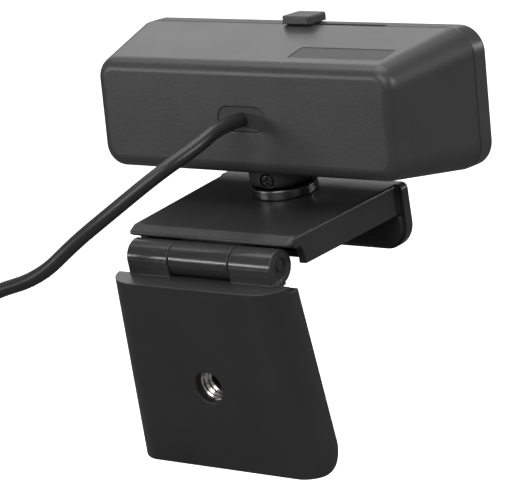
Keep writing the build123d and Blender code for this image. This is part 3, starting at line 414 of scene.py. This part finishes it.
# the loose end, laid over the strap's upper side
end = bmesh.ops.create_cube(bm, size=1.0)["verts"]
bmesh.ops.scale(bm, vec=(2 * half_wide - 0.0006, 1.3 * half_deep, 0.0004), verts=end)
bmesh.ops.translate(bm, vec=(0, -0.2 * half_deep, half_tall + 0.0001), verts=end)
bmesh.ops.translate(bm, vec=tie_middle, verts=bm.verts)
strap = bpy.data.objects.new("coil_strap", bpy.data.meshes.new("coil_strap"))
bm.to_mesh(strap.data)
bm.free()
scene.collection.objects.link(strap)

webbing = bpy.data.materials.new("strap_webbing")
webbing.use_nodes = True
tree = webbing.node_tree
place = put(tree, "TexCoord")
turned = put(tree, "Mapping", {"Vector": place.outputs["Object"], "Rotation": (0.0, 0.0, 0.0)})
warp = put(
    tree, "TexWave", {"Vector": turned.outputs[0], "Scale": 900.0, "Distortion": 0.6}, bands_direction="X",
)
weft = put(
    tree, "TexWave", {"Vector": turned.outputs[0], "Scale": 700.0, "Distortion": 0.6},
    bands_direction="DIAGONAL",
)
weave = put(tree, "Math", {0: warp.outputs["Fac"], 1: weft.outputs["Fac"]}, operation="MULTIPLY")
fuzz = put(tree, "TexNoise", {"Vector": place.outputs["Object"], "Scale": 5200.0, "Detail": 4.0})
tone = put(tree, "Mix", {
    0: fuzz.outputs["Fac"], 6: (0.014, 0.014, 0.015, 1.0), 7: (0.045, 0.045, 0.047, 1.0),
}, data_type="RGBA")
raised = put(tree, "Math", {0: fuzz.outputs["Fac"], 1: 0.5, 2: weave.outputs[0]}, operation="MULTIPLY_ADD")
bump = put(tree, "Bump", {"Strength": 1.0, "Distance": 0.00012, "Height": raised.outputs[0]})
shader = tree.nodes["Principled BSDF"]
shader.inputs["Roughness"].default_value = 0.9
shader.inputs["Sheen Weight"].default_value = 0.3
tree.links.new(tone.outputs[2], shader.inputs["Base Color"])
tree.links.new(bump.outputs[0], shader.inputs["Normal"])
strap.data.materials.append(webbing)
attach(strap, "head")
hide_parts("cable_tie")

# ---------------------------------------------------------------- plug
# A flat plug: a moulded grip with a tapered boot and shallow finger ridges, a folded nickel
# shell with two spring windows, a white tongue and four gilt contacts.
grip = moulding("plug_grip", (0.026, 0.026, 0.027), 0.5, grain=2200.0, depth=0.00002)
tree = grip.node_tree
place = put(tree, "TexCoord")
ridge = put(tree, "TexWave", {"Vector": place.outputs["Object"], "Scale": 90.0}, bands_direction="Z")
ridge_bump = put(tree, "Bump", {
    "Strength": 0.8, "Distance": 0.0002, "Height": ridge.outputs["Fac"], "Normal": tree.nodes["bump"].outputs[0],
})
tree.links.new(ridge_bump.outputs[0], tree.nodes["Principled BSDF"].inputs["Normal"])
dress(grip, "plug_body")

# Drawn or turned metal: fine lines round an axis or along one direction, in height and gloss.
lines_group, given, result = new_group(
    "tool_lines",
    [
        ("Across", "Float", 0.0), ("Scale", "Float", 6000.0), ("Roughness", "Float", 0.25),
        ("Spread", "Float", 0.1),
    ],
    [("Height", "Float"), ("Roughness", "Float"), ("Tone", "Float")],
)
stretched = put(
    lines_group, "Math", {0: given.outputs["Across"], 1: given.outputs["Scale"]}, operation="MULTIPLY",
)
line = put(
    lines_group, "TexNoise", {"W": stretched.outputs[0], "Scale": 1.0, "Detail": 3.0}, noise_dimensions="1D",
)
swing = put(lines_group, "Math", {0: line.outputs["Fac"], 1: 0.5}, operation="SUBTRACT")
rough = put(lines_group, "Math", {
    0: swing.outputs[0], 1: given.outputs["Spread"], 2: given.outputs["Roughness"],
}, operation="MULTIPLY_ADD")
tone = put(lines_group, "MapRange", {
    "Value": line.outputs["Fac"], "From Min": 0.25, "From Max": 0.75, "To Min": 0.82, "To Max": 1.1,
})
lines_group.links.new(line.outputs["Fac"], result.inputs["Height"])
lines_group.links.new(rough.outputs[0], result.inputs["Roughness"])
lines_group.links.new(tone.outputs["Result"], result.inputs["Tone"])


def metal(name, colour, roughness, middle=None, turn=(0.0, 0.0, 0.0), scale=6000.0, depth=0.000004, spread=0.12,
          edge=0.0002, metallic=1.0):
    """A metal with tool lines: round the local Z axis through middle, or else along the piece."""
    material = bpy.data.materials.new(name)
    material.use_nodes = True
    tree = material.node_tree
    shader = tree.nodes["Principled BSDF"]
    shader.inputs["Metallic"].default_value = metallic
    place = put(tree, "TexCoord")
    if middle is None:
        split = put(tree, "SeparateXYZ", {0: place.outputs["Object"]})
        across = split.outputs["Z"]
    else:
        moved = put(
            tree, "Mapping", {"Vector": place.outputs["Object"], "Location": middle, "Rotation": turn},
            vector_type="TEXTURE",
        )
        split = put(tree, "SeparateXYZ", {0: moved.outputs[0]})
        flat = put(tree, "CombineXYZ", {0: split.outputs["X"], 1: split.outputs["Y"]})
        away = put(tree, "VectorMath", {0: flat.outputs[0]}, operation="LENGTH")
        across = put(tree, "Math", {0: away.outputs["Value"], 1: split.outputs["Z"]}, operation="ADD").outputs[0]
    lines = use(
        tree, lines_group, {"Across": across, "Scale": scale, "Roughness": roughness, "Spread": spread},
    )
    broken = use(tree, edge_group, {"Radius": edge})
    toned = put(tree, "VectorMath", {0: colour, 3: lines.outputs["Tone"]}, operation="SCALE")
    bump = put(tree, "Bump", {
        "Strength": 1.0, "Distance": depth, "Height": lines.outputs["Height"], "Normal": broken.outputs["Normal"],
    }, name="bump")
    tree.links.new(toned.outputs[0], shader.inputs["Base Color"])
    tree.links.new(lines.outputs["Roughness"], shader.inputs["Roughness"])
    tree.links.new(bump.outputs[0], shader.inputs["Normal"])
    return material


dress(metal("plug_nickel", (0.62, 0.61, 0.58), 0.24, scale=3000.0), "plug_shell")
dress(metal("contact_gilt", (0.83, 0.62, 0.28), 0.28, scale=5000.0), "plug_contacts")
dress(
    moulding("tongue_white", (0.78, 0.78, 0.76), 0.4, grain=4000.0, depth=0.000004, spread=0.04, edge_wear_and_sheen=0.0),
    "plug_tongue",
)

# ---------------------------------------------------------------- head shell
# The housing and the front frame are one black ABS with a fine spark-eroded grain, moulded in
# two halves that meet in a narrow groove. The shutter's slider is moulded in the same plastic.
shell = moulding(
    "head_shell", (0.045, 0.045, 0.047), 0.37, grain=2400.0, depth=0.000014, spread=0.07, dust=0.25,
    edge=0.00035, edge_wear_and_sheen=0.25,
)
dress(shell, "rear_housing", "front_frame", "shutter_slider")

# The blank badge is a thin smooth patch with faint brushing along its length, let into the
# housing's sloping top.
badge = moulding(
    "badge", (0.030, 0.030, 0.032), 0.5, grain=5000.0, depth=0.000003, spread=0.05, dust=0.1, edge=0.0001,
    edge_wear_and_sheen=0.2,
)
tree = badge.node_tree
place = put(tree, "TexCoord")
split = put(tree, "SeparateXYZ", {0: place.outputs["Object"]})
lines = use(tree, lines_group, {"Across": split.outputs["Y"], "Scale": 9000.0})
brush = put(tree, "Bump", {
    "Strength": 0.5, "Distance": 0.000006, "Height": lines.outputs["Height"], "Normal": tree.nodes["bump"].outputs[0],
})
tree.links.new(brush.outputs[0], tree.nodes["Principled BSDF"].inputs["Normal"])
dress(badge, "badge_plate")

# The grommet is soft black rubber pressed into its seat from inside.
grommet = moulding(
    "grommet_rubber", (0.040, 0.040, 0.041), 0.6, grain=1800.0, depth=0.000014, spread=0.1, dust=0.2,
    edge=0.0003, edge_wear_and_sheen=0.1,
)
dress(grommet, "cable_grommet")

# ---------------------------------------------------------------- front
# A polished black window of acrylic fills the front frame, round a satin aluminium ring and the
# lens's own clear window. Fingers leave faint smears on the gloss.
gloss = bpy.data.materials.new("black_acrylic")
gloss.use_nodes = True
tree = gloss.node_tree
shader = tree.nodes["Principled BSDF"]
shader.inputs["Base Color"].default_value = (0.008, 0.008, 0.009, 1.0)
shader.inputs["Coat Weight"].default_value = 0.6
shader.inputs["Coat Roughness"].default_value = 0.04
place = put(tree, "TexCoord")
smear = put(
    tree, "TexNoise",
    {"Vector": place.outputs["Object"], "Scale": 110.0, "Detail": 6.0, "Roughness": 0.65, "Distortion": 0.8},
)
smeared = put(
    tree, "MapRange",
    {"Value": smear.outputs["Fac"], "From Min": 0.42, "From Max": 0.7, "To Min": 0.08, "To Max": 0.2},
)
tree.links.new(smeared.outputs["Result"], shader.inputs["Roughness"])
tone = put(
    tree, "Mix", {0: smear.outputs["Fac"], 6: (0.006, 0.006, 0.007, 1.0), 7: (0.012, 0.012, 0.013, 1.0)},
    data_type="RGBA",
)
tree.links.new(tone.outputs[2], shader.inputs["Base Color"])
broken = use(tree, edge_group, {"Radius": 0.0003})
tree.links.new(broken.outputs["Normal"], shader.inputs["Normal"])
dress(gloss, "front_panel")

ring_low, ring_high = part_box("lens_ring")
ring_middle = (ring_low + ring_high) / 2
tilt = math.radians(5.3)
facing_turn = (math.pi / 2 + tilt, 0.0, 0.0)
dress(
    metal("satin_aluminium", (0.42, 0.42, 0.43), 0.3, middle=ring_middle, turn=facing_turn, scale=9000.0),
    "lens_ring",
)

clear = bpy.data.materials.new("clear_glass")
clear.use_nodes = True
tree = clear.node_tree
shader = tree.nodes["Principled BSDF"]
shader.inputs["Base Color"].default_value = (0.92, 0.95, 0.94, 1.0)
shader.inputs["Transmission Weight"].default_value = 1.0
shader.inputs["IOR"].default_value = 1.5
place = put(tree, "TexCoord")
haze = put(
    tree, "TexNoise", {"Vector": place.outputs["Object"], "Scale": 260.0, "Detail": 5.0, "Distortion": 0.5},
)
hazed = put(
    tree, "MapRange",
    {"Value": haze.outputs["Fac"], "From Min": 0.45, "From Max": 0.75, "To Min": 0.01, "To Max": 0.07},
)
tree.links.new(hazed.outputs["Result"], shader.inputs["Roughness"])
dress(clear, "lens_window", "front_glass", "rear_glass")

# The lens barrel and its holder are matt black, and the barrel's front is cut with fine rings
# that keep stray light out.
barrel = moulding("lens_black", (0.014, 0.014, 0.015), 0.55, grain=3000.0, depth=0.00001, dust=0.1, edge_wear_and_sheen=0.2)
tree = barrel.node_tree
place = put(tree, "TexCoord")
moved = put(
    tree, "Mapping", {"Vector": place.outputs["Object"], "Location": ring_middle, "Rotation": facing_turn},
    vector_type="TEXTURE",
)
rings = put(
    tree, "TexWave", {"Vector": moved.outputs[0], "Scale": 700.0}, wave_type="RINGS", rings_direction="Z",
)
ring_bump = put(tree, "Bump", {
    "Strength": 0.8, "Distance": 0.00008, "Height": rings.outputs["Fac"], "Normal": tree.nodes["bump"].outputs[0],
})
tree.links.new(ring_bump.outputs[0], tree.nodes["Principled BSDF"].inputs["Normal"])
dress(barrel, "lens_barrel", "lens_holder", "shutter_blade")

# ---------------------------------------------------------------- electronics
# A green board with copper runs under its mask carries the sensor, the controller, two
# microphones, a light and the lead's connector.
board = bpy.data.materials.new("board_mask")
board.use_nodes = True
tree = board.node_tree
shader = tree.nodes["Principled BSDF"]
shader.inputs["Roughness"].default_value = 0.3
place = put(tree, "TexCoord")
laid = put(tree, "Mapping", {"Vector": place.outputs["Object"], "Rotation": facing_turn})
tracks = put(tree, "TexBrick", {
    "Vector": laid.outputs[0], "Scale": 260.0, "Mortar Size": 0.08, "Mortar Smooth": 0.2, "Color1": (0.012, 0.10, 0.045, 1.0),
    "Color2": (0.010, 0.085, 0.040, 1.0), "Mortar": (0.05, 0.22, 0.09, 1.0),
}, offset=0.37, squash=1.6)
uneven = put(tree, "TexNoise", {"Vector": place.outputs["Object"], "Scale": 900.0, "Detail": 2.0})
height = put(
    tree, "Math", {0: tracks.outputs["Fac"], 1: 0.6, 2: uneven.outputs["Fac"]}, operation="MULTIPLY_ADD",
)
bump = put(tree, "Bump", {"Strength": 0.6, "Distance": 0.00003, "Height": height.outputs[0]})
tree.links.new(tracks.outputs["Color"], shader.inputs["Base Color"])
tree.links.new(bump.outputs[0], shader.inputs["Normal"])
dress(board, "main_board")
chip = moulding("chip_epoxy", (0.03, 0.03, 0.032), 0.5, grain=7000.0, depth=0.000006, edge_wear_and_sheen=0.4)
dress(chip, "image_sensor", "controller_chip", "board_connector")
dress(metal("microphone_can", (0.5, 0.5, 0.5), 0.35), "microphones")
dress(
    moulding("light_diffuser", (0.7, 0.7, 0.68), 0.35, grain=6000.0, depth=0.000003, spread=0.04, edge_wear_and_sheen=0.0),
    "light_pipe", "status_led",
)

# ---------------------------------------------------------------- screws and pins
# Small zinc-plated steel screws, the neck's shaft, washer and nut, and the tilt bracket with
# its pin are turned or pressed, with lines from the tool.
steel = metal("zinc_steel", (0.46, 0.46, 0.47), 0.34, scale=4000.0)
dress(
    steel, "board_screws", "shell_screws", "bracket_screws", "cover_screws", "disc_screws", "leg_screws", "swivel_shaft",
    "swivel_washer", "swivel_nut", "tilt_bracket", "tilt_pin", "tilt_clip", "hinge_pin",
)
dress(metal("blackened_steel", (0.10, 0.10, 0.105), 0.32, scale=5000.0), "neck_screw")

# ---------------------------------------------------------------- neck
# The neck turns on a spun disc of dark satin metal. Its drum is a smoother, darker plastic
# than the head's, screwed to the shaft from behind.
disc_low, disc_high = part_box("swivel_disc")
disc_middle = (disc_low + disc_high) / 2
dress(
    metal("spun_disc", (0.20, 0.20, 0.205), 0.27, middle=disc_middle, scale=7000.0, depth=0.000006, edge=0.0003),
    "swivel_disc",
)
dress(
    moulding("collar_black", (0.035, 0.035, 0.036), 0.36, grain=3200.0, depth=0.000008, spread=0.08, edge=0.0003, edge_wear_and_sheen=0.5),
    "neck_collar",
)
dress(
    moulding("washer_rubber", (0.018, 0.018, 0.018), 0.7, grain=2400.0, depth=0.00001), "tilt_washers",
    "mic_gaskets",
)

# ---------------------------------------------------------------- clip and leg
# The clip's plate and the leg are glass-filled nylon with a satin skin. The knuckles of the
# hinge, in the same mouldings, are polished by turning, so they shine more than the flats; their colour is also made a
# little lighter, as a painted highlight.
nylon_colour = (0.026, 0.026, 0.027)
nylon = moulding(
    "clip_nylon", nylon_colour, 0.36, grain=2800.0, depth=0.00001, spread=0.08, dust=0.2, edge=0.0004,
    edge_wear_and_sheen=0.9,
)
tree = nylon.node_tree
hinge_joint = [joint for joint in frame["joints"] if joint["name"] == "leg_fold"][0]
hinge_place = Vector(hinge_joint["pos_m"])
knuckle_r = 0.0038
place = put(tree, "TexCoord")
split = put(tree, "SeparateXYZ", {0: place.outputs["Object"]})
off_y = put(tree, "Math", {0: split.outputs["Y"], 1: hinge_place.y}, operation="SUBTRACT")
off_z = put(tree, "Math", {0: split.outputs["Z"], 1: hinge_place.z}, operation="SUBTRACT")
flat = put(tree, "CombineXYZ", {0: off_y.outputs[0], 1: off_z.outputs[0]})
away = put(tree, "VectorMath", {0: flat.outputs[0]}, operation="LENGTH")
on_knuckle = put(tree, "MapRange", {
    "Value": away.outputs["Value"], "From Min": knuckle_r + 0.00015, "From Max": knuckle_r,
})
# the knuckles' lighter colour is a painted highlight; their lower roughness is real
knuckle_painted_sheen = put(tree, "Mix", {
    0: on_knuckle.outputs["Result"], 6: (*nylon_colour, 1.0), 7: (0.034, 0.034, 0.035, 1.0),
}, data_type="RGBA")
tree.links.new(knuckle_painted_sheen.outputs[2], tree.nodes["base"].inputs[0])
knuckle_gloss = put(tree, "Mix", {0: on_knuckle.outputs["Result"], 2: 0.36, 3: 0.2})
tree.links.new(knuckle_gloss.outputs[0], tree.nodes["surface"].inputs["Roughness"])
dress(nylon, "clip_plate", "leg_shell")
dress(
    moulding("cover_black", (0.020, 0.020, 0.021), 0.48, grain=2400.0, depth=0.000014, edge_wear_and_sheen=0.5),
    "seat_cover", "leg_cover",
)
cap_low, cap_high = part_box("hinge_caps")
cap_middle = (cap_low + cap_high) / 2
dress(
    metal("cap_black", (0.05, 0.05, 0.052), 0.35, middle=cap_middle, turn=(0.0, math.pi / 2, 0.0), scale=6000.0, metallic=0.6),
    "hinge_caps",
)

# ---------------------------------------------------------------- pads
# Soft black rubber pads grip the screen: fine raised dots keep them from sliding.
pad = moulding(
    "pad_rubber", (0.016, 0.016, 0.016), 0.72, grain=2000.0, depth=0.00001, spread=0.15, dust=0.5, edge_wear_and_sheen=0.3,
)
tree = pad.node_tree
place = put(tree, "TexCoord")
dots = put(tree, "TexVoronoi", {"Vector": place.outputs["Object"], "Scale": 800.0, "Randomness": 0.0})
dot = put(tree, "MapRange", {"Value": dots.outputs["Distance"], "From Min": 0.42, "From Max": 0.28})
dot_bump = put(tree, "Bump", {
    "Strength": 1.0, "Distance": 0.00012, "Height": dot.outputs["Result"], "Normal": tree.nodes["bump"].outputs[0],
})
tree.links.new(dot_bump.outputs[0], tree.nodes["Principled BSDF"].inputs["Normal"])
dress(pad, "seat_pad", "lip_pad", "leg_pad")

# ---------------------------------------------------------------- tripod thread
# A nickel-plated brass insert behind the leg's outer wall carries the quarter-inch thread of a
# tripod, twenty turns to the inch, cut with a ridge that is flat at its crest.
mount = [m for m in frame["record"]["mounts"] if m["name"] == "tripod_thread"][0]
thread_axis = Vector(mount["axis"]).normalized()
thread_middle = Vector(mount["pos_m"])
thread_long = mount["dims"]["length_mm"] / 1000
thread_r = mount["dims"]["r_mm"] / 1000
crest_r = 0.00262
insert_r = 0.005
pitch = 0.00127
lead_in = 0.0003
steps = 40
ridge_turns = 2
to_thread = thread_axis.to_track_quat("Z", "Y").to_matrix()
bm = bmesh.new()
# the plain ring, with a bevelled mouth at each end
corners = [
    (insert_r, -thread_long / 2), (insert_r, thread_long / 2), (thread_r + lead_in, thread_long / 2),
    (thread_r, thread_long / 2 - lead_in), (thread_r, lead_in - thread_long / 2), (thread_r + lead_in, -thread_long / 2),
]
ring = [bm.verts.new((r, 0.0, z)) for r, z in corners]
outline = [bm.edges.new((a, b)) for a, b in zip(ring, ring[1:] + ring[:1])]
bmesh.ops.spin(
    bm, geom=ring + outline, cent=(0, 0, 0), axis=(0, 0, 1), angle=2 * math.pi, steps=2 * steps, use_merge=True,
)
# the ridge, wound through the ring
tooth_root_r = thread_r + 0.00006
root_half = 0.44 * pitch
crest_half = 0.09 * pitch
tooth = [(tooth_root_r, -root_half), (crest_r, -crest_half), (crest_r, crest_half), (tooth_root_r, root_half)]
start = [bm.verts.new((r, 0.0, z - thread_long / 2 + 0.5 * pitch)) for r, z in tooth]
bm.faces.new(start)
section = list(start[0].link_faces)
bmesh.ops.spin(
    bm, geom=section, cent=(0, 0, 0), axis=(0, 0, 1), dvec=(0, 0, pitch / steps), angle=2 * math.pi * ridge_turns,
    steps=ridge_turns * steps,
)
bmesh.ops.remove_doubles(bm, verts=bm.verts, dist=0.000001)
bmesh.ops.recalc_face_normals(bm, faces=bm.faces)
bmesh.ops.rotate(bm, cent=(0, 0, 0), matrix=to_thread, verts=bm.verts)
bmesh.ops.translate(bm, vec=thread_middle, verts=bm.verts)
for face in bm.faces:
    face.smooth = False
insert = bpy.data.objects.new("tripod_thread", bpy.data.meshes.new("tripod_thread"))
bm.to_mesh(insert.data)
bm.free()
scene.collection.objects.link(insert)
insert.data.materials.append(metal("nickel_thread", (0.78, 0.76, 0.72), 0.16, scale=8000.0, edge=0.0001))
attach(insert, "leg")
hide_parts("tripod_insert")
